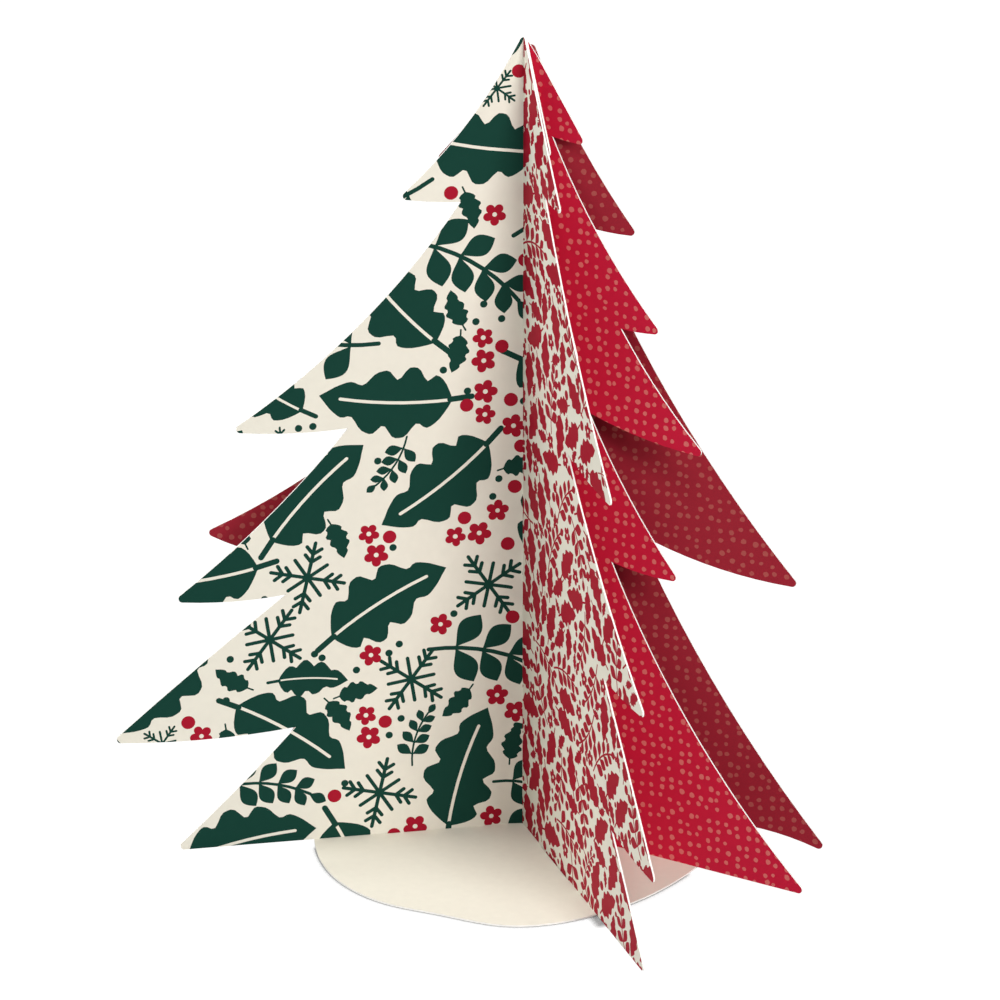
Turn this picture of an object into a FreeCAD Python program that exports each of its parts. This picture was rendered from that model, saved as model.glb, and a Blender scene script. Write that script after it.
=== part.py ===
import FreeCAD, Part
import math
import os
from collections import namedtuple

# Free-standing folded card: three tree sheets, each folded once down its middle,
# nested fold to fold on one upright line and standing on a round base card.
# Millimetres. +Z up, -Y towards the viewer. The fold line is the Z axis and
# the table is z = 0. Plan angles are degrees, counter-clockwise from +X.

# Card stock
sheet_thickness = 0.4
base_thickness = 0.4

# Height of each sheet at its fold, above the table
front_sheet_height = 200.0
side_sheet_height = 199.0
back_sheet_height = 198.3

# Rounding of the branch tips
tip_radius = 1.0

# Narrow strips beside the folds, where neighbouring sheets are glued face to face
glue_strip_width = 4.0
left_glue_direction = 183.5
front_glue_direction = 290.2
right_glue_direction = 337.5

# Tongues under the sheets, which pass down through slits in the base card
tongue_start = 14.0
tongue_length = 20.0
slit_clearance = 0.2

# Round base card: its mean radius, and how far the edge stands out at each plan angle
base_radius = 52.0
base_edge_waves = [
    (0.0, -3.0), (45.0, -1.0), (90.0, 0.0), (135.0, -0.5), (193.0, -0.5),
    (215.0, 2.5), (235.0, 3.2), (248.0, 2.3), (266.0, 4.8), (285.0, 2.2),
    (310.0, -2.5), (330.0, -4.0),
]

# One tier of branches. Reach is measured out from the fold, height up from the table.
# The edge above the tip curves in by upper_sag, the edge below it bows down by lower_bow.
Tier = namedtuple("Tier", "tip_reach tip_height notch_reach notch_height upper_sag lower_bow")

# One leaf of a folded sheet. The lowest tier ends in the foot, on the base card.
Leaf = namedtuple("Leaf", "direction top_height top_reach tiers foot_reach foot_sag arch_start arch_rise tongue")

front_left_leaf = Leaf(
    direction=190.8,
    top_height=front_sheet_height,
    top_reach=0.8,
    tiers=[
        Tier(29.9, 162.2, 15.0, 160.5, 2.4, 0.3),
        Tier(70.4, 107.0, 42.0, 106.0, 4.0, 0.8),
        Tier(84.5, 65.0, 57.2, 64.8, 1.8, 0.9),
        Tier(99.8, 29.8, 55.3, 30.3, -0.4, 1.2),
    ],
    foot_reach=85.2,
    foot_sag=0.5,
    arch_start=0.0,
    arch_rise=0.0,
    tongue=True,
)

front_right_leaf = Leaf(
    direction=288.7,
    top_height=front_sheet_height,
    top_reach=0.8,
    tiers=[
        Tier(26.6, 165.2, 15.0, 165.9, 0.8, 0.3),
        Tier(62.8, 107.0, 31.5, 108.5, 2.5, 0.8),
        Tier(86.0, 64.0, 57.3, 62.5, 2.7, 0.6),
        Tier(93.4, 26.0, 63.5, 26.5, -0.3, 0.6),
    ],
    foot_reach=86.8,
    foot_sag=-0.3,
    arch_start=0.0,
    arch_rise=0.0,
    tongue=True,
)

side_front_leaf = Leaf(
    direction=291.7,
    top_height=side_sheet_height,
    top_reach=1.0,
    tiers=[
        Tier(16.4, 175.5, 7.5, 176.9, 0.0, 0.2),
        Tier(34.0, 130.5, 26.0, 133.0, 2.2, 0.2),
        Tier(49.6, 105.5, 18.0, 110.3, 1.2, 1.0),
        Tier(42.6, 72.8, 24.0, 73.9, 1.5, 0.7),
    ],
    foot_reach=71.0,
    foot_sag=4.0,
    arch_start=0.0,
    arch_rise=0.0,
    tongue=False,
)

side_right_leaf = Leaf(
    direction=328.4,
    top_height=side_sheet_height,
    top_reach=1.0,
    tiers=[
        Tier(16.4, 176.3, 7.3, 176.9, 0.0, 0.2),
        Tier(37.1, 133.8, 26.1, 133.1, 2.2, 0.3),
        Tier(49.6, 105.6, 17.6, 110.4, 1.2, 1.2),
        Tier(42.6, 72.8, 24.0, 73.9, 1.5, 0.7),
    ],
    foot_reach=78.4,
    foot_sag=4.7,
    arch_start=0.0,
    arch_rise=0.0,
    tongue=True,
)

back_right_leaf = Leaf(
    direction=346.0,
    top_height=back_sheet_height,
    top_reach=2.4,
    tiers=[
        Tier(27.4, 153.6, 14.6, 155.0, 1.6, 0.4),
        Tier(67.4, 69.0, 27.5, 79.2, 3.8, 2.0),
    ],
    foot_reach=76.0,
    foot_sag=3.0,
    arch_start=22.0,
    arch_rise=6.0,
    tongue=False,
)

back_left_leaf = Leaf(
    direction=177.0,
    top_height=back_sheet_height,
    top_reach=0.4,
    tiers=[
        Tier(20.6, 170.0, 10.5, 166.5, 1.0, 0.3),
        Tier(44.0, 112.0, 30.0, 108.0, 3.0, 0.5),
        Tier(76.2, 74.8, 30.0, 72.0, 2.2, 5.0),
    ],
    foot_reach=73.0,
    foot_sag=3.0,
    arch_start=22.0,
    arch_rise=6.0,
    tongue=True,
)

# Length of the strips that the leaves are cut from, and how far the cutters pass the fold
widest_reach = 110.0
spine_margin = 1.5

# Distance below which two corners count as one
same_point = 1e-6


def in_plan(angle, distance):
    """Point at this plan angle and distance from the fold line."""
    turn = math.radians(angle)
    return FreeCAD.Vector(distance * math.cos(turn), distance * math.sin(turn), 0)


def curved_edge(start, end, sag):
    """Arc between two points of a leaf's outline; sag pushes its middle in and down."""
    if sag == 0:
        return Part.LineSegment(start, end).toShape()
    run = end - start
    sideways = FreeCAD.Vector(run.z, 0, -run.x)
    sideways.normalize()
    if sideways.z > 0:
        sideways = sideways.negative()
    middle = (start + end) * 0.5 + sideways * sag
    return Part.Arc(start, middle, end).toShape()


def straight_edges(points):
    """Line edges from each point to the next."""
    return [Part.LineSegment(a, b).toShape() for a, b in zip(points, points[1:])]


def leaf_profile(leaf):
    """Solid as deep as the leaf's strip, with the leaf's cut outline, reach along +X."""
    foot_height = base_thickness
    corner = FreeCAD.Vector(leaf.top_reach, 0, leaf.top_height)
    edges = []
    tips = []
    start = corner
    for tier in leaf.tiers:
        tip = FreeCAD.Vector(tier.tip_reach, 0, tier.tip_height)
        notch = FreeCAD.Vector(tier.notch_reach, 0, tier.notch_height)
        edges.append(curved_edge(start, tip, tier.upper_sag))
        edges.append(curved_edge(tip, notch, tier.lower_bow))
        tips.append(tip)
        start = notch
    foot = FreeCAD.Vector(leaf.foot_reach, 0, foot_height)
    edges.append(curved_edge(start, foot, leaf.foot_sag))
    tips.append(foot)
    flat_start = foot
    if leaf.arch_rise > 0:
        flat_start = FreeCAD.Vector(leaf.arch_start, 0, foot_height)
        edges.append(curved_edge(foot, flat_start, -leaf.arch_rise))
    edges += straight_edges([flat_start] + leaf_bottom(leaf, foot_height) + [corner])
    face = Part.Face(Part.Wire(edges))
    depth = profile_half_depth()
    face.translate(FreeCAD.Vector(0, -depth, 0))
    solid = face.extrude(FreeCAD.Vector(0, 2 * depth, 0))
    return solid.makeFillet(tip_radius, edges_through(solid, tips + [corner]))


def leaf_bottom(leaf, foot_height):
    """Corners from the end of the foot round to the top of the fold, by way of the tongue."""
    points = []
    if leaf.tongue:
        tongue_end = tongue_start + tongue_length
        points.append(FreeCAD.Vector(tongue_end, 0, foot_height))
        points.append(FreeCAD.Vector(tongue_end, 0, 0))
        points.append(FreeCAD.Vector(tongue_start, 0, 0))
        points.append(FreeCAD.Vector(tongue_start, 0, foot_height))
    points.append(FreeCAD.Vector(-spine_margin, 0, foot_height))
    points.append(FreeCAD.Vector(-spine_margin, 0, leaf.top_height))
    return points


def profile_half_depth():
    """Enough to hold the sheet and the glue strip, which leans a little from the leaf."""
    return sheet_thickness + glue_strip_width


def edges_through(solid, corners):
    """The straight edges across the card's thickness that pass through these corners."""
    found = []
    for edge in solid.Edges:
        a, b = (vertex.Point for vertex in edge.Vertexes[:2])
        if abs(a.x - b.x) > same_point or abs(a.z - b.z) > same_point:
            continue
        if any(abs(a.x - c.x) < same_point and abs(a.z - c.z) < same_point for c in corners):
            found.append(edge)
    return found


def fold_corner(glue_direction, sector, side):
    """Points and arc at the fold for one half: bare side first, then the arc's ends.

    The sheet lies in the sector between its two glue directions. A sheet that is
    folded to less than a straight angle is rounded on the sharp side of its fold,
    and a sheet that is open past it is rounded behind.
    """
    half_sector = math.radians(sector / 2)
    middle = glue_direction + side * sector / 2
    quarter = glue_direction + side * sector / 4
    if sector < 180:
        centre = in_plan(middle, sheet_thickness / math.sin(half_sector))
        arc_end = in_plan(glue_direction, sheet_thickness / math.tan(half_sector))
        outwards = arc_end - centre
        arc_start = centre - in_plan(middle, sheet_thickness)
        halfway = outwards + (arc_start - centre)
    else:
        centre = FreeCAD.Vector(0, 0, 0)
        arc_end = in_plan(glue_direction + side * 90, sheet_thickness)
        arc_start = in_plan(middle, sheet_thickness)
        halfway = arc_end + arc_start
    halfway.normalize()
    arc_middle = centre + halfway * sheet_thickness
    return centre, arc_start, arc_middle, arc_end


def half_strip(leaf, glue_direction, sector, side):
    """One half of a folded sheet before its outline is cut: an upright strip.

    Its bare face runs from the fold along the glue direction and then, from the
    crease at the end of the glue strip, along the leaf's own direction.
    """
    centre, arc_start, arc_middle, arc_end = fold_corner(glue_direction, sector, side)
    lean = (leaf.direction - glue_direction + 180) % 360 - 180
    crease = in_plan(glue_direction, glue_strip_width)
    mitre = sheet_thickness / math.cos(math.radians(lean / 2))
    inner_crease = crease + in_plan(glue_direction + lean / 2 + side * 90, mitre)
    end = crease + in_plan(leaf.direction, widest_reach)
    inner_end = end + in_plan(leaf.direction + side * 90, sheet_thickness)
    arc = Part.Arc(arc_start, arc_middle, arc_end).toShape()
    if sector < 180:
        points = [arc_end, crease, end, inner_end, inner_crease, centre, arc_start]
    else:
        points = [arc_start, centre, crease, end, inner_end, inner_crease, arc_end]
    edges = straight_edges(points) + [arc]
    plan = Part.Face(Part.Wire(Part.__sortEdges__(edges)))
    return plan.extrude(FreeCAD.Vector(0, 0, leaf.top_height))


def half_sheet(leaf, glue_direction, sector, side):
    """One leaf: its upright strip, cut to the leaf's outline."""
    profile = leaf_profile(leaf)
    profile.rotate(FreeCAD.Vector(0, 0, 0), FreeCAD.Vector(0, 0, 1), leaf.direction)
    return half_strip(leaf, glue_direction, sector, side).common(profile)


def folded_sheet(first_leaf, first_glue, second_leaf, second_glue):
    """A sheet with its two leaves joined at the fold, first leaf clockwise of the second."""
    sector = (second_glue - first_glue) % 360
    first = half_sheet(first_leaf, first_glue, sector, 1)
    second = half_sheet(second_leaf, second_glue, sector, -1)
    return first.fuse(second).removeSplitter()


def front_tree_card():
    return folded_sheet(front_left_leaf, left_glue_direction, front_right_leaf, front_glue_direction)


def side_tree_card():
    return folded_sheet(side_front_leaf, front_glue_direction, side_right_leaf, right_glue_direction)


def back_tree_card():
    return folded_sheet(back_right_leaf, right_glue_direction, back_left_leaf, left_glue_direction)


def tongue_slit(leaf, glue_direction, side):
    """Cutter for the slit that takes a leaf's tongue, with clearance all round."""
    lean = math.radians(leaf.direction - glue_direction)
    bare_face = -glue_strip_width * math.sin(lean)
    middle = bare_face + side * sheet_thickness / 2
    length = tongue_length + 2 * slit_clearance
    width = sheet_thickness + 2 * slit_clearance
    corner = FreeCAD.Vector(tongue_start - slit_clearance, middle - width / 2, 0)
    slit = Part.makeBox(length, width, base_thickness, corner)
    slit.rotate(FreeCAD.Vector(0, 0, 0), FreeCAD.Vector(0, 0, 1), leaf.direction)
    return slit


def base_card():
    """Round card with a softly waved edge, flat on the table, slit for the tongues."""
    points = [in_plan(angle, base_radius + wave) for angle, wave in base_edge_waves]
    edge = Part.BSplineCurve()
    edge.interpolate(Points=points, PeriodicFlag=True)
    card = Part.Face(Part.Wire(edge.toShape())).extrude(FreeCAD.Vector(0, 0, base_thickness))
    tongued = [
        (front_left_leaf, left_glue_direction, 1),
        (front_right_leaf, front_glue_direction, -1),
        (side_right_leaf, right_glue_direction, -1),
        (back_left_leaf, left_glue_direction, -1),
    ]
    for leaf, glue_direction, side in tongued:
        card = card.cut(tongue_slit(leaf, glue_direction, side))
    return card


os.makedirs("parts", exist_ok=True)
for make_piece in (front_tree_card, side_tree_card, back_tree_card, base_card):
    shape = make_piece()
    shape.exportStep("parts/" + make_piece.__name__ + ".step")
    print(make_piece.__name__, "volume", round(shape.Volume, 1), "mm3, valid", shape.isValid(),
          "solids", len(shape.Solids))
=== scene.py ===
# %% [markdown]
# # A standing tree of folded card
# Three tree-shaped sheets of card, each folded once, stand fold to fold on a round base card.
# The solids already have the cut outlines and the folds. What is missing is what makes it a
# printed card: ink on both sides, a white core that shows on every cut edge, soft creases where
# the card was scored, and the faint grain of board.

import math

import bpy
import numpy as np
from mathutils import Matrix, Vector
from mathutils.geometry import delaunay_2d_cdt


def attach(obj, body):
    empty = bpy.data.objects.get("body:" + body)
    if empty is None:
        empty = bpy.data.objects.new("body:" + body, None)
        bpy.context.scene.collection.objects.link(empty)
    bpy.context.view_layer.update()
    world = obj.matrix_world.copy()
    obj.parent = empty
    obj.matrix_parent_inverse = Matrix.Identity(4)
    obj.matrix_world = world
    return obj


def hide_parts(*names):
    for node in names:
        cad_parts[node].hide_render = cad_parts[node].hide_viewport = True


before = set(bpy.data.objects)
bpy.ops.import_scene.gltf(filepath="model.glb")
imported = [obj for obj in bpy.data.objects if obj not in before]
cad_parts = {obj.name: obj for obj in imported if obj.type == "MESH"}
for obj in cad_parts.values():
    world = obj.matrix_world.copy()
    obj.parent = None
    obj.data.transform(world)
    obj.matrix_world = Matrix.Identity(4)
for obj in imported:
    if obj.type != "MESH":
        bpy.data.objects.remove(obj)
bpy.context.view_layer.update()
MM = 0.001
RNG_SEED = 11
print("nodes:", sorted(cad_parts))

# %% [markdown]
# ## The shape of a fold
# Seen from above, a folded sheet is one line: in along the left leaf, through a shallow crease
# where its glue strip starts, round the tight fold, and out along the right leaf. All the sheets
# share the sizes below; only their directions differ. The printed side is always the side that
# the fold closes on.

# %% Sizes of the sheets, in millimetres and degrees of plan angle
THICKNESS = 0.4
GLUE_STRIP = 4.0
INSIDE_FOLD_RADIUS = 0.12
CREASE_HALF_WIDTH = 0.6
LONGEST_LEAF = 130.0
PATH_STEP = 0.005
ON_FACE = 0.01

SHEETS = {
    "front": {"node": "front_tree_card", "left_leaf": 190.8, "left_glue": 183.5,
              "right_glue": 290.2, "right_leaf": 288.7, "fold_at_axis": False},
    "side": {"node": "side_tree_card", "left_leaf": 291.7, "left_glue": 290.2,
             "right_glue": 337.5, "right_leaf": 328.4, "fold_at_axis": False},
    "back": {"node": "back_tree_card", "left_leaf": 177.0, "left_glue": 183.5,
             "right_glue": 337.5, "right_leaf": 346.0, "fold_at_axis": True},
}


def plan(angle, distance=1.0):
    """Point in plan at an angle in degrees: distance times (cosine, sine)."""
    turn = np.radians(angle)
    return np.stack([np.cos(turn), np.sin(turn)], axis=-1) * np.expand_dims(distance, -1)


def fold_facts(sheet):
    """Where the fold's inner corner is, and the half angle that the fold opens to.

    The bay between the leaves spans left_glue to right_glue. A sheet that lies inside its bay
    has its inner corner thickness / sin(half angle) out along the middle of the bay; one that
    lies behind the bay has it on the axis.
    """
    half = (sheet["right_glue"] - sheet["left_glue"]) / 2
    middle = sheet["left_glue"] + half
    out = 0.0 if sheet["fold_at_axis"] else THICKNESS / math.sin(math.radians(half))
    return half, middle, plan(middle, out), out * math.cos(math.radians(half))


for name, sheet in SHEETS.items():
    print(name, "sheet opens to", round(2 * fold_facts(sheet)[0], 1), "degrees")

# %% [markdown]
# ## Unfolding the cut outline
# The die line of each sheet can be read off the solid: the triangles of its inner faces are laid
# out flat, by measuring how far each corner lies along the plan line, and the edges that only one
# of them has are the outline. Tracing it by hand would work too, but then a changed solid would
# no longer fit its print.


# %% Flatten a sheet's inner faces and follow their boundary
def inner_line(sheet):
    """Corners in plan of the inner face: left end, left crease, fold, right crease, right end."""
    half, middle, corner, _ = fold_facts(sheet)
    points = [corner]
    for side, glue, leaf in ((-1, "left_glue", "left_leaf"), (1, "right_glue", "right_leaf")):
        lean = (sheet[leaf] - sheet[glue] + 180) % 360 - 180
        crease = plan(sheet[glue], GLUE_STRIP)
        if not sheet["fold_at_axis"]:
            mitre = THICKNESS / math.cos(math.radians(lean / 2))
            crease = crease + plan(sheet[glue] + lean / 2 - side * 90, mitre)
        end = crease + plan(sheet[leaf], LONGEST_LEAF)
        points = [end, crease] + points if side < 0 else points + [crease, end]
    return np.array(points)


def along_line(points, line):
    """Distance of each plan point from a broken line, and how far along it the nearest spot is.

    The nearest spot on a run from a to b is a + t(b - a), with t the dot product of (p - a) and
    (b - a) over the run's squared length, held between 0 and 1.
    """
    starts, runs = line[:-1], np.diff(line, axis=0)
    lengths = np.linalg.norm(runs, axis=1)
    before = np.concatenate([[0], np.cumsum(lengths)[:-1]])
    offset = points[:, None] - starts[None]
    t = np.clip((offset * runs).sum(2) / lengths ** 2, 0, 1)
    gap = np.linalg.norm(offset - t[..., None] * runs, axis=2)
    nearest = gap.argmin(1)
    rows = np.arange(len(points))
    return gap[rows, nearest], before[nearest] + t[rows, nearest] * lengths[nearest]


def flat_outline(sheet):
    """The die line, as (distance from the fold, height) in millimetres, left leaf negative."""
    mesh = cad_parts[sheet["node"]].data
    co = np.empty(len(mesh.vertices) * 3, np.float32)
    mesh.vertices.foreach_get("co", co)
    co = co.reshape(-1, 3).astype(float) / MM
    mesh.calc_loop_triangles()
    corners = np.empty(len(mesh.loop_triangles) * 3, np.int32)
    mesh.loop_triangles.foreach_get("vertices", corners)
    corners = corners.reshape(-1, 3)
    line = inner_line(sheet)
    gap, far = along_line(co[:, :2], line)
    far -= along_line(fold_facts(sheet)[2][None], line)[1][0]
    flat = np.column_stack([far, co[:, 2]]).round(3)
    corners = corners[(gap < ON_FACE)[corners].all(1)]
    points, index = np.unique(flat, axis=0, return_inverse=True)
    corners = index.reshape(-1)[corners]
    runs = np.concatenate([corners[:, [0, 1]], corners[:, [1, 2]], corners[:, [2, 0]]])
    runs = runs[runs[:, 0] != runs[:, 1]]
    both_ways = set(map(tuple, runs[:, ::-1]))
    after = {a: b for a, b in map(tuple, runs) if (a, b) not in both_ways}
    loop = [next(iter(after))]
    while after[loop[-1]] != loop[0]:
        loop.append(after[loop[-1]])
    print(sheet["node"], "outline of", len(loop), "points, from", len(after), "boundary edges")
    return points[loop]


outlines = {name: flat_outline(sheet) for name, sheet in SHEETS.items()}

# %% [markdown]
# ## Folding it back up
# A bend in card keeps the length of its middle layer. So the heading of the middle layer is
# written as a function of the distance from the fold, and adding up small steps in that heading
# gives the line: straight, a shallow crease, straight, and the fold as a small arc.


# %% The middle layer of one leaf, from the fold outwards
def leaf_path(sheet, side):
    """Distances, plan points and headings of the middle layer on one side of the fold.

    Heading = glue direction + (90 - half angle) that fades out over the fold's arc, + the lean
    of the leaf, that fades in over the crease. Points are the running sum of step x heading.
    """
    half, middle, corner, corner_along = fold_facts(sheet)
    glue = sheet["right_glue" if side > 0 else "left_glue"]
    lean = (sheet["right_leaf" if side > 0 else "left_leaf"] - glue + 180) % 360 - 180
    radius = INSIDE_FOLD_RADIUS + THICKNESS / 2
    turn = 90 - half
    arc = radius * math.radians(turn)
    straight = GLUE_STRIP - corner_along - INSIDE_FOLD_RADIUS / math.tan(math.radians(half))
    crease = arc + straight
    reach = LONGEST_LEAF + 2 * GLUE_STRIP
    s = np.linspace(0, reach, round(reach / PATH_STEP) + 1)
    fade = np.clip((s - crease) / (2 * CREASE_HALF_WIDTH) + 0.5, 0, 1)
    fade = fade * fade * (3 - 2 * fade)
    heading = glue + side * turn * (1 - np.clip(s / arc, 0, 1)) + lean * fade
    centre = corner + plan(middle, INSIDE_FOLD_RADIUS / math.sin(math.radians(half)))
    start = centre - plan(middle, radius)
    step = s[1] - s[0]
    between = plan((heading[1:] + heading[:-1]) / 2, step)
    points = start + np.concatenate([np.zeros((1, 2)), np.cumsum(between, axis=0)])
    return {"s": s, "points": points, "heading": heading, "arc": arc, "crease": crease}


def fold_up(sheet, flat, offset):
    """Places flat points on the folded sheet, offset millimetres off its middle layer.

    Positive offsets are on the printed side, which is 90 degrees clockwise of the way from the
    left leaf to the right one.
    """
    out = np.empty((len(flat), 3))
    out[:, 2] = flat[:, 1]
    for side in (-1, 1):
        path = leaf_path(sheet, side)
        here = flat[:, 0] * side >= 0
        s = np.abs(flat[here, 0])
        x = np.interp(s, path["s"], path["points"][:, 0])
        y = np.interp(s, path["s"], path["points"][:, 1])
        heading = np.interp(s, path["s"], path["heading"])
        out[here, :2] = np.column_stack([x, y]) + plan(heading - side * 90, offset)
    return out * MM


def die_line(name):
    """The outline, slid out along the middle layer until each leaf's end meets the solid's."""
    sheet = SHEETS[name]
    flat = outlines[name].copy()
    line = inner_line(sheet)
    for side, leaf, end in ((-1, "left_leaf", line[:3]), (1, "right_leaf", line[:1:-1])):
        length = np.linalg.norm(np.diff(end, axis=0), axis=1).sum()
        folded = fold_up(sheet, np.array([[side * length, 0.0]]), THICKNESS / 2)[0, :2] / MM
        short = (end[0] - folded) @ plan(sheet[leaf])
        flat[flat[:, 0] * side > 0, 0] += side * short
    return flat


for name, sheet in SHEETS.items():
    right = leaf_path(sheet, 1)
    print(name, "fold arc", round(2 * right["arc"], 2), "mm, crease at", round(right["crease"], 2))

# %% [markdown]
# ## Drawing the print
# The print on the real sheet is flat ink with crisp edges, in shapes like scissor cuts. It
# could be a picture, but then it blurs close up. Here every motif is a closed outline in
# millimetres, and the sheet is cut up along all of them, so that each ink is its own faces.
# The motifs are plain ones: lobed leaves, round-leaved sprigs, frost stars, blossoms and dots.


# %% Motif outlines, each a closed loop of points around the origin
POINT_SPACING = 0.8
PETALS = 5
NOTCH_DEPTH = 0.34
LEAF_BEND = 0.16
LOBES = 4
STEM_SAG = 0.09


def dot(radius):
    """Circle: radius x (cos, sin)."""
    count = 8 + int(6 * radius)
    return plan(np.arange(count) * 360 / count, np.full(count, radius))


def blossom(radius):
    """Rounded petals: radius x (0.62 + 0.38 |cos(petals x angle / 2)| ^ 0.8)."""
    count = PETALS * (6 if radius < 2.2 else 10)
    angle = np.arange(count) * 360 / count
    wave = np.abs(np.cos(np.radians(angle * PETALS / 2))) ** 0.8
    return plan(angle, radius * (0.62 + 0.38 * wave))


def stroke(points, width):
    """A band along a line of points, with a round cap of five points on each end."""
    points = np.asarray(points, float)
    run = np.gradient(points, axis=0)
    run /= np.linalg.norm(run, axis=1)[:, None]
    aside = np.column_stack([-run[:, 1], run[:, 0]]) * width / 2
    loops = [points + aside]
    for end, sign in ((-1, 1), (0, -1)):
        facing = math.degrees(math.atan2(run[end, 1], run[end, 0])) + (0 if sign > 0 else 180)
        loops.append(points[end] + plan(facing + np.array([60, 20, -20, -60]), width / 2))
        if sign > 0:
            loops.append((points - aside)[::-1])
    return np.concatenate(loops)[::-1]


def stem_points(t, length):
    """Parabola from (0, 0) to (length, 0) that rises to 0.09 of its length in its middle."""
    t = np.asarray(t)
    return np.stack([t * length, 4 * STEM_SAG * length * t * (1 - t)], axis=-1)


def envelope(t):
    """Half width along a leaf as a share of the widest: sin(pi t ^ 0.8) ^ 0.75."""
    return np.sin(np.pi * t ** 0.8) ** 0.75


def leaf_side(t, half_width):
    """The envelope, cut in by up to a third, with a raised cosine squared, once for each lobe."""
    notch = 1 - NOTCH_DEPTH * (0.5 + 0.5 * np.cos(2 * np.pi * LOBES * t)) ** 2
    return half_width * envelope(t) * notch


def midrib(t, length):
    """Points along a leaf's middle: (t x length, bend x length x t(1 - t))."""
    return np.column_stack([t * length, LEAF_BEND * length * t * (1 - t)])


def steps(length, least, most):
    """How many points a curve of this length gets: about one to each 0.8 mm."""
    return int(np.clip(length / POINT_SPACING, least, most))


def lobed_leaf(length, width):
    """Leaf along +X: its upper side leads its lower one by a third of a lobe, and it curves."""
    t = np.linspace(0, 1, steps(length, 18, 36))
    middle = midrib(t, length)
    upper = leaf_side(t, width / 2)
    lower = leaf_side(np.clip(t + 0.08 * np.sin(np.pi * t), 0, 1), width / 2)
    top = middle + np.column_stack([0 * t, upper])
    bottom = (middle - np.column_stack([0 * t, lower]))[::-1]
    return np.concatenate([top, bottom[1:-1]])


def paddle(length, width):
    """Round leaf on its stalk: along +X, half width = sin(pi t ^ 1.3) of the full half width."""
    t = np.linspace(0, 1, steps(length * 1.5, 7, 14))
    half = width / 2 * np.sin(np.pi * t ** 1.3)
    top = np.column_stack([t * length, half])
    return np.concatenate([top, np.column_stack([t * length, -half])[-2:0:-1]])


def turned(loop, angle, place=(0, 0)):
    """A loop turned by degrees and moved."""
    c, s = math.cos(math.radians(angle)), math.sin(math.radians(angle))
    return loop @ np.array([[c, s], [-s, c]]) + np.asarray(place)


def anticlockwise(loop):
    """The loop, reversed where its signed area, half the sum of x dy - y dx, is negative."""
    ahead = np.roll(loop, -1, axis=0)
    area = (loop[:, 0] * ahead[:, 1] - loop[:, 1] * ahead[:, 0]).sum() / 2
    return loop if area > 0 else loop[::-1]


print("a lobed leaf has", len(lobed_leaf(30, 16)), "points")

# %% [markdown]
# A motif is a list of loops with their ink, later loops over earlier ones, and a few circles that
# say how much room it takes. The circles are all that the layout needs to know about it.


# %% The motifs: loops with their ink, and the room they take
EYE = 0.2


def leaf_motif(length, ink, vein):
    """A lobed leaf on a short stalk; vein leaves its midrib open as the ground colour."""
    width = 0.56 * length
    loops = [(lobed_leaf(length, width), ink)]
    if vein:
        rib = midrib(np.linspace(0.0, 0.84, 8), length)
        loops.append((stroke(rib, 0.024 * length), "ground"))
    stalk = [(-0.14 * length, -0.03 * length), (0.02 * length, 0.0)]
    loops.append((stroke(stalk, 0.045 * length), ink))
    t = np.array([0.1, 0.26, 0.42, 0.58, 0.74, 0.88])
    half = 0.47 * width * envelope(t)
    room = np.column_stack([midrib(t, length), half]).tolist()
    return loops, room


def sprig_motif(length, ink):
    """A curved stem with pairs of round leaves that grow smaller towards a last one on its tip."""
    stem = stem_points(np.linspace(0, 1, 9), length)
    loops = [(stroke(stem, 0.034 * length), ink)]
    room = [(0.08 * length, 0.02 * length, 0.04 * length)]
    for k, t in enumerate((0.2, 0.41, 0.62, 0.82)):
        base = stem_points(t, length)
        size = (0.33 - 0.03 * k) * length
        for side in (-1, 1):
            slant = 18 * (1 - 2 * t) + side * (58 - 5 * k)
            loops.append((turned(paddle(size, 0.58 * size), slant, base), ink))
            room.append((*(base + plan(slant, 0.56 * size)), 0.34 * size))
        room.append((*base, 0.1 * length))
    end = np.array([0.98 * length, 0.0])
    loops.append((turned(paddle(0.22 * length, 0.13 * length), -20, end), ink))
    room.append((*(end + plan(-20, 0.12 * length)), 0.09 * length))
    return loops, room


def star_motif(radius, ink):
    """A frost star: eight spokes, every other one long, with two pairs of barbs on a long one."""
    width = 0.1 * radius
    barb = stroke([(0, 0), (0.27 * radius, 0)], width)
    loops = []
    for k in range(8):
        long = k % 2 == 0
        reach = radius if long else 0.62 * radius
        loops.append((turned(stroke([(0, 0), (reach, 0)], width), 45 * k), ink))
        if long:
            for at, side in ((0.45, -1), (0.45, 1), (0.68, -1), (0.68, 1)):
                placed = turned(barb, side * 48, (at * radius, 0))
                loops.append((turned(placed, 45 * k), ink))
    return loops, [(0, 0, 0.88 * radius)]


def blossom_motif(radius, ink):
    """A blossom with an open eye."""
    return [(blossom(radius), ink), (dot(EYE * radius), "ground")], [(0, 0, radius)]


def blossom_cluster(radius, ink):
    """Two blossoms and a bud, close together."""
    loops = []
    room = []
    for x, y, size in ((-0.9, 0.0, 1.0), (0.95, 0.55, 0.86), (0.55, -1.1, 0.55)):
        place = (x * radius, y * radius)
        shape = blossom(size * radius) if size > 0.6 else dot(size * radius)
        loops.append((turned(shape, 40 * x, place), ink))
        if size > 0.6:
            loops.append((turned(dot(EYE * radius), 0, place), "ground"))
        room.append((*place, size * radius))
    return loops, room


def dot_motif(radius, ink):
    """A plain dot."""
    return [(dot(radius), ink)], [(0, 0, radius)]


# %% [markdown]
# ## Laying out a tossed print
# Textile and paper designers call a scatter of motifs at all angles a tossed layout. The big
# motifs go down first, each at the first free spot that a seeded draw finds, then ever smaller
# ones fill the gaps. A repeat grid would be quicker, but its rows show at once on a long leaf.


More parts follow.
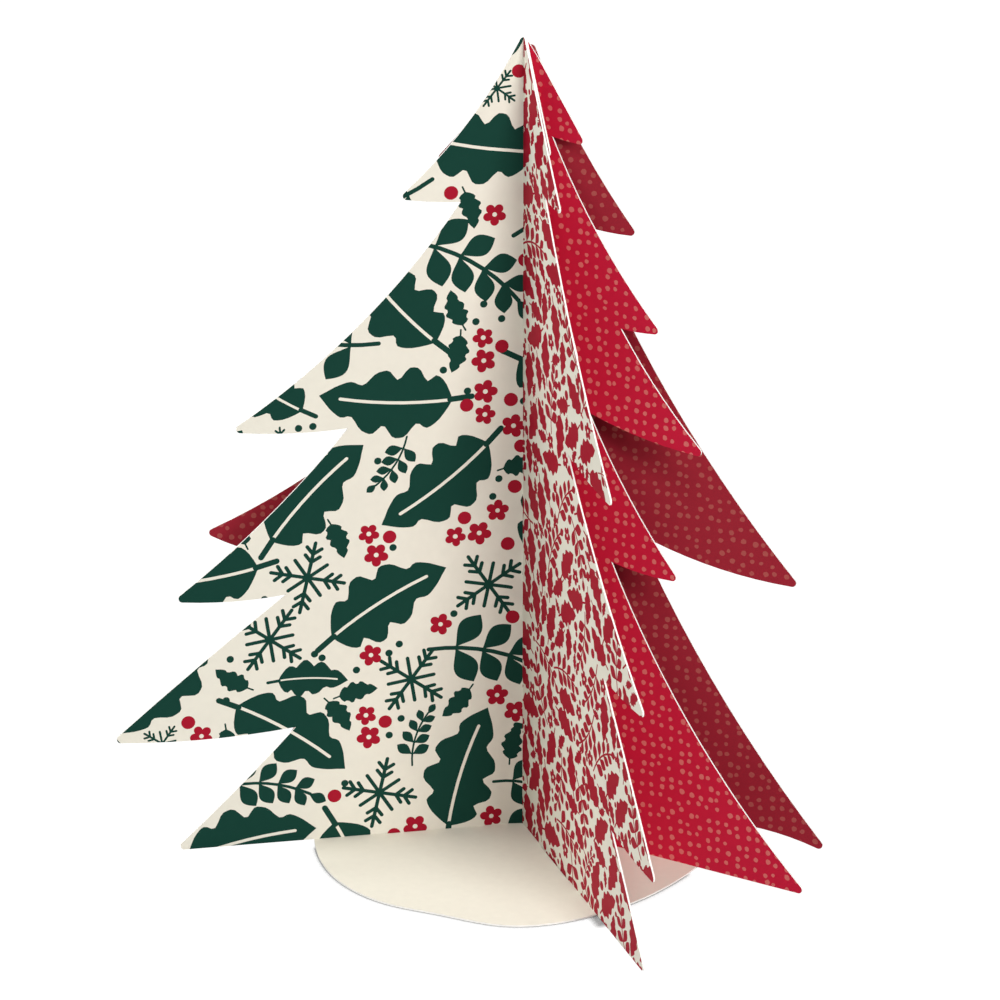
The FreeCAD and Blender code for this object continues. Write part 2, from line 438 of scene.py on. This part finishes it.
# %% Toss motifs over a leaf
TREE_TOP = 206.0
TREE_WIDEST = 106.0
TREE_SLOPE = 0.5
MARGIN = 6.0
NEIGHBOURHOOD = 40.0
LARGE_GAP = 0.15
SMALL_GAP = -0.31


def toss(seed, side, kinds, gap):
    """Places motifs over a leaf. kinds is a list of (motif, how many, tries), drawn in that order.

    Places are drawn in a triangle that the tree fits in: as far out from the fold as half the
    way down from the top. A try is kept where every one of its circles clears all the circles
    so far by gap, or overlaps them by no more than that where gap is negative.
    """
    draw = np.random.default_rng(seed)
    taken = np.empty((0, 3))
    placed = []
    for (loops, room), wanted, tries in kinds:
        room = np.array(room)
        count = 0
        for _ in range(tries):
            if count == wanted:
                break
            out, height = draw.uniform((-MARGIN, -MARGIN), (TREE_WIDEST, TREE_TOP))
            angle = draw.uniform(0, 360)
            if out > MARGIN + TREE_SLOPE * (TREE_TOP - height):
                continue
            place = (side * out, height)
            circles = np.column_stack([turned(room[:, :2], angle, place), room[:, 2]])
            near = taken[(np.abs(taken[:, :2] - place) < NEIGHBOURHOOD).all(1)]
            apart = np.linalg.norm(circles[:, None, :2] - near[None, :, :2], axis=2)
            if (apart > circles[:, None, 2] + near[None, :, 2] + gap).all():
                taken = np.concatenate([taken, circles])
                for loop, ink in loops:
                    placed.append((anticlockwise(turned(loop, angle, place)), ink))
                count += 1
    return placed


def large_print():
    """Deep green leaves and sprigs with crimson blossoms, for the left leaf of the front sheet."""
    kinds = [
        (leaf_motif(32, "green", True), 16, 3000),
        (sprig_motif(31, "green"), 12, 3000),
        (star_motif(9, "green"), 7, 1500),
        (blossom_cluster(3.0, "crimson"), 8, 600),
        (leaf_motif(25, "green", True), 30, 5000),
        (sprig_motif(22, "green"), 24, 5000),
        (blossom_motif(2.8, "crimson"), 9, 900),
        (leaf_motif(17, "green", True), 40, 6000),
        (star_motif(5.2, "green"), 8, 1500),
        (sprig_motif(14, "green"), 40, 6000),
        (dot_motif(1.7, "crimson"), 12, 1200),
        (leaf_motif(9.5, "green", False), 80, 6000),
        (dot_motif(0.9, "green"), 30, 1200),
    ]
    return toss(RNG_SEED, -1, kinds, LARGE_GAP)


def small_print():
    """Much the same motifs at a third of the size, all in crimson, for the leaf beside it."""
    kinds = [
        (leaf_motif(11.5, "crimson", False), 80, 5000),
        (sprig_motif(15, "crimson"), 70, 6000),
        (leaf_motif(8.5, "crimson", False), 150, 9000),
        (sprig_motif(10, "crimson"), 70, 6000),
        (blossom_motif(2.1, "crimson"), 40, 1500),
        (dot_motif(1.2, "crimson"), 90, 3000),
        (leaf_motif(6.0, "crimson", False), 260, 12000),
        (leaf_motif(4.2, "crimson", False), 160, 6000),
        (dot_motif(0.7, "crimson"), 120, 3000),
    ]
    return toss(RNG_SEED + 1, 1, kinds, SMALL_GAP)


large_loops = large_print()
small_loops = small_print()
print("large print:", len(large_loops), "loops; small print:", len(small_loops), "loops")

# %% [markdown]
# ## Inks and board
# The sheets are uncoated board, offset printed and die cut. Flat ink on board like this is
# matt with a trace of mottle, because the fibres take it unevenly, and the cut edge shows the
# white core. One function adds a node, and one turns a written sRGB colour into linear light.


# %% Colours and the node helper
CREAM = "#E6E2D4"
BASE_CREAM = "#E6E3D4"
GREEN = "#133D33"
CRIMSON = "#A3162C"
RED = "#CC2140"
RED_DOT = "#DC7672"
# The back sheet's red and its dots: darker all over than the side sheet's, the same on every leaf.
DEEP_RED = "#982533"
DEEP_DOT = "#A8504D"
CORE = "#FAF8F3"

INK_ROUGHNESS = 0.52
GROUND_ROUGHNESS = 0.58
BASE_ROUGHNESS = 0.62
CORE_ROUGHNESS = 0.7
SPECULAR = 0.06
MOTTLE_MM = 2.2
MOTTLE_DEPTH = 0.035
GRAIN_MM = 0.35
GRAIN_RELIEF_MM = 0.05


def linear(colour):
    """sRGB hex to linear: below 0.04045 divide by 12.92, else ((c + 0.055) / 1.055) ^ 2.4."""
    c = np.array([int(colour[i:i + 2], 16) for i in (1, 3, 5)]) / 255
    return (*np.where(c <= 0.04045, c / 12.92, ((c + 0.055) / 1.055) ** 2.4).tolist(), 1.0)


def add(tree, kind, links=None, **settings):
    """Adds a node, sets its inputs or properties by name, and links inputs to sockets."""
    node = tree.nodes.new(kind)
    for key, value in settings.items():
        if hasattr(node, key):
            setattr(node, key, value)
        else:
            node.inputs[key.replace("_", " ")].default_value = value
    for key, socket in (links or {}).items():
        tree.links.new(socket, node.inputs[key])
    return node


def new_material(name):
    """A material with an empty tree and its output node."""
    material = bpy.data.materials.new(name)
    material.use_nodes = True
    tree = material.node_tree
    tree.nodes.clear()
    return material, tree, tree.nodes.new("ShaderNodeOutputMaterial")


def board(tree, output, colour_socket, roughness):
    """Board surface: the given colour with 3.5% fibre mottle, and a fine fibre grain as bump."""
    where = add(tree, "ShaderNodeTexCoord").outputs["Object"]
    mottle = add(tree, "ShaderNodeTexNoise", {"Vector": where},
                 Scale=1 / (MOTTLE_MM * MM), Detail=4.0)
    shade = add(tree, "ShaderNodeMapRange", {"Value": mottle.outputs["Fac"]},
                To_Min=1 - MOTTLE_DEPTH, To_Max=1 + MOTTLE_DEPTH)
    tint = add(tree, "ShaderNodeVectorMath", {0: colour_socket, 1: shade.outputs["Result"]},
               operation="MULTIPLY")
    grain = add(tree, "ShaderNodeTexNoise", {"Vector": where},
                Scale=1 / (GRAIN_MM * MM), Detail=3.0)
    bump = add(tree, "ShaderNodeBump", {"Height": grain.outputs["Fac"]},
               Strength=0.12, Distance=GRAIN_RELIEF_MM * MM)
    shader = add(tree, "ShaderNodeBsdfPrincipled",
                 {"Base Color": tint.outputs["Vector"], "Normal": bump.outputs["Normal"]},
                 Roughness=roughness, IOR=1.5, Specular_IOR_Level=SPECULAR)
    tree.links.new(shader.outputs["BSDF"], output.inputs["Surface"])


def flat_ink(name, colour, roughness):
    """One ink, or the bare ground, laid flat on board."""
    material, tree, output = new_material(name)
    ink = add(tree, "ShaderNodeRGB")
    ink.outputs[0].default_value = linear(colour)
    board(tree, output, ink.outputs[0], roughness)
    return material


# %% [markdown]
# The red sheets carry a hand-stippled dot print. A Voronoi texture gives each dot its own cell,
# so the dots never fall into rows; the distance to the cell's middle, roughened a little and
# compared with a size of its own per cell, is the dot. It reads the sheet's flat layout from a UV
# map in centimetres, so the dots bend round the folds with the card.


# %% Red flood with pale stippled dots
DOT_PITCH_CM = 0.262
DOT_RADIUS = 0.23
DOT_SPREAD = (0.8, 1.15)
DOT_DISORDER = 0.5
WAVER_SCALE = 9.0
RIM_WAVER_CM = 0.05
RIM_SOFTNESS = 0.015


def dotted_ink(name, ground, spot):
    """Dots where distance / pitch < radius x (0.8 to 1.15, by cell), with a wavering rim."""
    material, tree, output = new_material(name)
    flat = add(tree, "ShaderNodeUVMap", uv_map="flat sheet").outputs["UV"]
    waver = add(tree, "ShaderNodeTexNoise", {"Vector": flat}, Scale=WAVER_SCALE, Detail=2.0)
    shift = add(tree, "ShaderNodeVectorMath", {0: waver.outputs["Color"]}, operation="SUBTRACT")
    shift.inputs[1].default_value = (0.5, 0.5, 0.5)
    drift = add(tree, "ShaderNodeVectorMath", {0: shift.outputs["Vector"]},
                operation="SCALE", Scale=RIM_WAVER_CM)
    moved = add(tree, "ShaderNodeVectorMath", {0: flat, 1: drift.outputs["Vector"]},
                operation="ADD")
    cells = add(tree, "ShaderNodeTexVoronoi", {"Vector": moved.outputs["Vector"]},
                voronoi_dimensions="2D", Scale=1 / DOT_PITCH_CM, Randomness=DOT_DISORDER)
    own = add(tree, "ShaderNodeSeparateColor", {"Color": cells.outputs["Color"]})
    size = add(tree, "ShaderNodeMapRange", {"Value": own.outputs["Red"]},
               To_Min=DOT_SPREAD[0] * DOT_RADIUS, To_Max=DOT_SPREAD[1] * DOT_RADIUS)
    inside = add(tree, "ShaderNodeMath", {0: size.outputs["Result"], 1: cells.outputs["Distance"]},
                 operation="SUBTRACT")
    edge = add(tree, "ShaderNodeMapRange", {"Value": inside.outputs["Value"]},
               From_Min=-RIM_SOFTNESS, From_Max=RIM_SOFTNESS)
    mix = add(tree, "ShaderNodeMix", {"Factor": edge.outputs["Result"]}, data_type="RGBA")
    mix.inputs["A"].default_value = linear(ground)
    mix.inputs["B"].default_value = linear(spot)
    board(tree, output, mix.outputs["Result"], INK_ROUGHNESS)
    return material


# %% The finishes of the card
INKS = {
    "ground": flat_ink("cream_ink_on_board", CREAM, GROUND_ROUGHNESS),
    "green": flat_ink("green_offset_ink", GREEN, INK_ROUGHNESS),
    "crimson": flat_ink("crimson_offset_ink", CRIMSON, INK_ROUGHNESS),
    "dotted": dotted_ink("dotted_red_offset_ink", RED, RED_DOT),
    "deep dotted": dotted_ink("dotted_deep_red_back_sheet", DEEP_RED, DEEP_DOT),
    "deep": flat_ink("plain_deep_red_back_sheet", DEEP_RED, INK_ROUGHNESS),
    "core": flat_ink("white_board_core", CORE, CORE_ROUGHNESS),
}
print("finishes:", ", ".join(material.name for material in INKS.values()))

# %% [markdown]
# ## From loops to a sheet of card
# A constrained Delaunay triangulation cuts the die line up along every motif, and says which
# loops each triangle lies in, so the topmost one names its ink. The same triangles make the
# front and the back, half the thickness either side of the middle layer, and a wall of quads
# along the die line closes the sheet and shows the white core.


# %% Cut, colour and fold a sheet
GUIDE_ENDS = (-2.0, 202.0)
TRIANGLES_INSIDE = 1
CUT_TOLERANCE = 1e-5
MM_PER_CM = 10
SHARP_ANGLE = 32


def guide_lines(sheet):
    """Distances from the fold where the card bends, so that no triangle spans a bend."""
    lines = [0.0]
    for side in (-1, 1):
        path = leaf_path(sheet, side)
        lines += [side * path["arc"] * share for share in (0.25, 0.5, 0.75, 1.0)]
        lines += [side * (path["crease"] + CREASE_HALF_WIDTH * share)
                  for share in (-1, -0.6, -0.2, 0.2, 0.6, 1)]
    return lines


def any_inside(points, outline):
    """Whether any of the points lies in the outline: a ray to the right crosses it oddly often."""
    a, b = outline, np.roll(outline, -1, axis=0)
    x, y = points[:, :1], points[:, 1:]
    spans = (a[:, 1] > y) != (b[:, 1] > y)
    rise = np.where(spans, b[:, 1] - a[:, 1], 1.0)
    crossing = a[:, 0] + (y - a[:, 1]) / rise * (b[:, 0] - a[:, 0])
    return ((spans & (crossing > x)).sum(1) % 2 == 1).any()


def cut_sheet(sheet, outline, prints):
    """Flat vertices, triangles, and for each triangle the ink of the topmost loop it lies in.

    prints holds the left leaf's loops and the right leaf's; each stops at the fold.
    """
    points = [Vector(p) for p in outline]
    faces = [list(range(len(outline)))]
    edges = []
    for x in guide_lines(sheet):
        edges.append((len(points), len(points) + 1))
        points += [Vector((x, height)) for height in GUIDE_ENDS]
    drawn = [(0, "ground")]
    for side, loops in zip((-1, 1), prints):
        for loop, ink in loops:
            if (loop[:, 0] * side > 0).any() and any_inside(loop, outline):
                faces.append(list(range(len(points), len(points) + len(loop))))
                points += [Vector(p) for p in loop]
                drawn.append((side, ink))
    found = delaunay_2d_cdt(points, edges, faces, TRIANGLES_INSIDE, CUT_TOLERANCE, True)
    vertices, cut_faces, loops_over = found[0], found[2], found[5]
    flat = np.array([tuple(v) for v in vertices])
    kept = [k for k, over in enumerate(loops_over) if 0 in over]
    triangles = np.array([cut_faces[k] for k in kept])
    sides = np.sign(flat[triangles].mean(1)[:, 0])
    inks = []
    for k, side in zip(kept, sides):
        top = max(over for over in loops_over[k] if over == 0 or drawn[over][0] == side)
        inks.append(drawn[top][1])
    used, index = np.unique(triangles, return_inverse=True)
    return flat[used], index.reshape(triangles.shape), inks


def build_sheet(name, prints, front_ink, back_ink):
    """One folded, printed and die-cut sheet as a closed mesh."""
    sheet = SHEETS[name]
    flat, triangles, inks = cut_sheet(sheet, die_line(name), prints)
    count = len(flat)
    front = fold_up(sheet, flat, THICKNESS / 2)
    back = fold_up(sheet, flat, -THICKNESS / 2)
    a, b, c = (flat[triangles[:, k]] for k in range(3))
    area = np.cross(b - a, c - a)
    triangles = np.where((area < 0)[:, None], triangles[:, ::-1], triangles)
    runs = np.concatenate([triangles[:, [0, 1]], triangles[:, [1, 2]], triangles[:, [2, 0]]])
    both_ways = set(map(tuple, runs[:, ::-1].tolist()))
    rim = np.array([r for r in runs.tolist() if tuple(r) not in both_ways])
    walls = np.column_stack([rim[:, 1], rim[:, 0], rim[:, 0] + count, rim[:, 1] + count])
    faces = triangles.tolist() + (triangles[:, ::-1] + count).tolist() + walls.tolist()
    mesh = bpy.data.meshes.new(name + "_printed_sheet")
    mesh.from_pydata(np.concatenate([front, back]), [], faces)
    palette = sorted(set(inks) | {front_ink, back_ink, "core"})
    for ink in palette:
        mesh.materials.append(INKS[ink])
    fronts = [palette.index(front_ink if ink == "ground" else ink) for ink in inks]
    backs = [palette.index(back_ink)] * len(triangles)
    edges = [palette.index("core")] * len(walls)
    mesh.polygons.foreach_set("material_index", fronts + backs + edges)
    layout = mesh.uv_layers.new(name="flat sheet")
    corner = np.empty(len(mesh.loops), np.int32)
    mesh.loops.foreach_get("vertex_index", corner)
    places = np.tile(flat, (2, 1))[corner] / MM_PER_CM
    layout.data.foreach_set("uv", places.ravel().astype(np.float32))
    mesh.shade_smooth()
    mesh.set_sharp_from_angle(angle=math.radians(SHARP_ANGLE))
    mesh.validate()
    piece = bpy.data.objects.new(mesh.name, mesh)
    bpy.context.scene.collection.objects.link(piece)
    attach(piece, "root")
    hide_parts(sheet["node"])
    print(piece.name, len(mesh.polygons), "faces")


build_sheet("front", (large_loops, small_loops), "ground", "ground")
build_sheet("side", (), "dotted", "dotted")
# The back sheet: a darker red than the side sheet all over, dotted on its front and plain on its
# back.
build_sheet("back", (), "deep dotted", "deep")

# %% [markdown]
# ## The base card
# The base is the solid itself, a waved round of cream board. Only its cut edge differs, and that
# can be told from the way a face points: level faces are the cream side, upright ones the core.


# %% Cream faces, white cut edge
def base_finish():
    """Cream board where the true normal points up or down, white core where it points sideways."""
    material, tree, output = new_material("cream_board_with_white_edge")
    facing = add(tree, "ShaderNodeNewGeometry").outputs["True Normal"]
    upright = add(tree, "ShaderNodeSeparateXYZ", {"Vector": facing})
    level = add(tree, "ShaderNodeMath", {0: upright.outputs["Z"]}, operation="ABSOLUTE")
    mix = add(tree, "ShaderNodeMix", {"Factor": level.outputs["Value"]}, data_type="RGBA")
    mix.inputs["A"].default_value = linear(CORE)
    mix.inputs["B"].default_value = linear(BASE_CREAM)
    board(tree, output, mix.outputs["Result"], BASE_ROUGHNESS)
    return material


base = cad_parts["base_card"]
base.data.materials.clear()
base.data.materials.append(base_finish())

# %% [markdown]
# ## Table, light and camera
# The card stands on a white table in a light tent. A broad key lamp low on the right throws the
# right leaf's soft shadow along the fold, a small lamp in front reaches the red leaves, and one
# far round on the left skims the small print. A broad one behind only lifts the back. The sky and
# the table look white to the camera by themselves, so no lamp has to be turned up for that.


# %% Table
WHITE = (1, 1, 1, 1)
TABLE_SIZE = 6.0
TABLE_PAINT = "#C8C8C6"
TABLE_GLOW = 1.2
GLOW_SHARE = 0.8
SHADOW_REACH_MM = 3.0
SHADOW_POWER = 4.0
RIM_FADE_MM = (58.0, 60.5)
SECTOR_MIDDLE = (SHEETS["front"]["left_leaf"] + SHEETS["side"]["right_leaf"]) / 2
SECTOR_FADE = (0.46, 0.41)


def table_finish():
    """White paint that the camera sees mostly as plain white, but for the base's contact shadow.

    White = glow x openness ^ 4, where openness is the ambient occlusion within 3 mm. The shadow
    is let through in the front sector only, between the left and the right leaves, out to the
    base's rim. The sector is where the cosine to its middle is above 0.46.
    """
    material, tree, output = new_material("white_table")
    paint = add(tree, "ShaderNodeBsdfDiffuse", Color=linear(TABLE_PAINT))
    openness = add(tree, "ShaderNodeAmbientOcclusion", samples=4, Distance=SHADOW_REACH_MM * MM)
    shade = add(tree, "ShaderNodeMath", {0: openness.outputs["AO"]}, operation="POWER")
    shade.inputs[1].default_value = SHADOW_POWER
    where = add(tree, "ShaderNodeTexCoord").outputs["Object"]
    far = add(tree, "ShaderNodeVectorMath", {0: where}, operation="LENGTH")
    past_rim = add(tree, "ShaderNodeMapRange", {"Value": far.outputs["Value"]},
                   From_Min=RIM_FADE_MM[0] * MM, From_Max=RIM_FADE_MM[1] * MM)
    way = add(tree, "ShaderNodeVectorMath", {0: where}, operation="NORMALIZE")
    ahead = add(tree, "ShaderNodeVectorMath", {0: way.outputs["Vector"]}, operation="DOT_PRODUCT")
    ahead.inputs[1].default_value = (*plan(SECTOR_MIDDLE), 0.0)
    past_leaves = add(tree, "ShaderNodeMapRange", {"Value": ahead.outputs["Value"]},
                      From_Min=SECTOR_FADE[0], From_Max=SECTOR_FADE[1])
    past = add(tree, "ShaderNodeMath",
               {0: past_rim.outputs["Result"], 1: past_leaves.outputs["Result"]},
               operation="MAXIMUM")
    lit = add(tree, "ShaderNodeMath", {0: shade.outputs["Value"], 1: past.outputs["Value"]},
              operation="MAXIMUM")
    glow = add(tree, "ShaderNodeMath", {0: lit.outputs["Value"]}, operation="MULTIPLY")
    glow.inputs[1].default_value = TABLE_GLOW
    white = add(tree, "ShaderNodeEmission", {"Strength": glow.outputs["Value"]}, Color=WHITE)
    rays = add(tree, "ShaderNodeLightPath")
    seen = add(tree, "ShaderNodeMath", {0: rays.outputs["Is Camera Ray"]}, operation="MULTIPLY")
    seen.inputs[1].default_value = GLOW_SHARE
    mix = add(tree, "ShaderNodeMixShader",
              {0: seen.outputs["Value"], 1: paint.outputs["BSDF"], 2: white.outputs["Emission"]})
    tree.links.new(mix.outputs["Shader"], output.inputs["Surface"])
    return material


bpy.ops.mesh.primitive_plane_add(size=TABLE_SIZE, location=(0, 0, 0))
table = bpy.context.object
table.name = "table"
table.data.materials.append(table_finish())


# %% Sky and lamps
SKY_LIGHT = 0.25
SKY_SEEN = 1.0
LAMP_DISTANCE = 1.4
LAMP_TARGET = (0, 0, 0.09)


def sky():
    """Even pale light, and plain white where the camera looks at it."""
    world = bpy.data.worlds.new("light_tent")
    bpy.context.scene.world = world
    world.use_nodes = True
    tree = world.node_tree
    tree.nodes.clear()
    output = tree.nodes.new("ShaderNodeOutputWorld")
    light = add(tree, "ShaderNodeBackground", Color=WHITE, Strength=SKY_LIGHT)
    white = add(tree, "ShaderNodeBackground", Color=WHITE, Strength=SKY_SEEN)
    rays = add(tree, "ShaderNodeLightPath")
    mix = add(tree, "ShaderNodeMixShader",
              {0: rays.outputs["Is Camera Ray"], 1: light.outputs["Background"],
               2: white.outputs["Background"]})
    tree.links.new(mix.outputs["Shader"], output.inputs["Surface"])


def lamp(name, azimuth, elevation, size, power):
    """Square lamp aimed at the card's middle. Azimuth 0 is the viewer's side, + to the right."""
    a, e = math.radians(azimuth), math.radians(elevation)
    away = Vector((math.sin(a) * math.cos(e), -math.cos(a) * math.cos(e), math.sin(e)))
    data = bpy.data.lights.new(name, "AREA")
    data.size = size
    data.energy = power
    light = bpy.data.objects.new(name, data)
    light.location = Vector(LAMP_TARGET) + away * LAMP_DISTANCE
    light.rotation_euler = (-away).to_track_quat("-Z", "Y").to_euler()
    bpy.context.scene.collection.objects.link(light)


sky()
lamp("key_lamp", 32, 28, 0.45, 11.5)
lamp("front_lamp", 3, 50, 0.3, 4.4)
lamp("side_lamp", -96, 42, 0.6, 12.0)
lamp("back_lamp", 172, 40, 1.0, 7.0)

# %% Camera at the photograph's angle
CAMERA_ELEVATION = 22.3
CAMERA_DISTANCE = 1573.0
AIM = (-5.7, 0.0, 84.6)
FOCAL_PIXELS = 6640.0
IMAGE_PIXELS = 1000.0
SENSOR_MM = 36.0
CLIP_END = 20.0


def place_camera():
    """Long lens: focal length in millimetres = focal length in pixels / image x sensor width."""
    data = bpy.data.cameras.new("camera")
    data.sensor_width = SENSOR_MM
    data.lens = FOCAL_PIXELS / IMAGE_PIXELS * SENSOR_MM
    data.clip_end = CLIP_END
    camera = bpy.data.objects.new("camera", data)
    e = math.radians(CAMERA_ELEVATION)
    away = Vector((0, -math.cos(e), math.sin(e)))
    camera.location = (Vector(AIM) + away * CAMERA_DISTANCE) * MM
    camera.rotation_euler = (-away).to_track_quat("-Z", "Y").to_euler()
    bpy.context.scene.collection.objects.link(camera)
    bpy.context.scene.camera = camera


place_camera()
bpy.context.scene.view_settings.view_transform = "Standard"
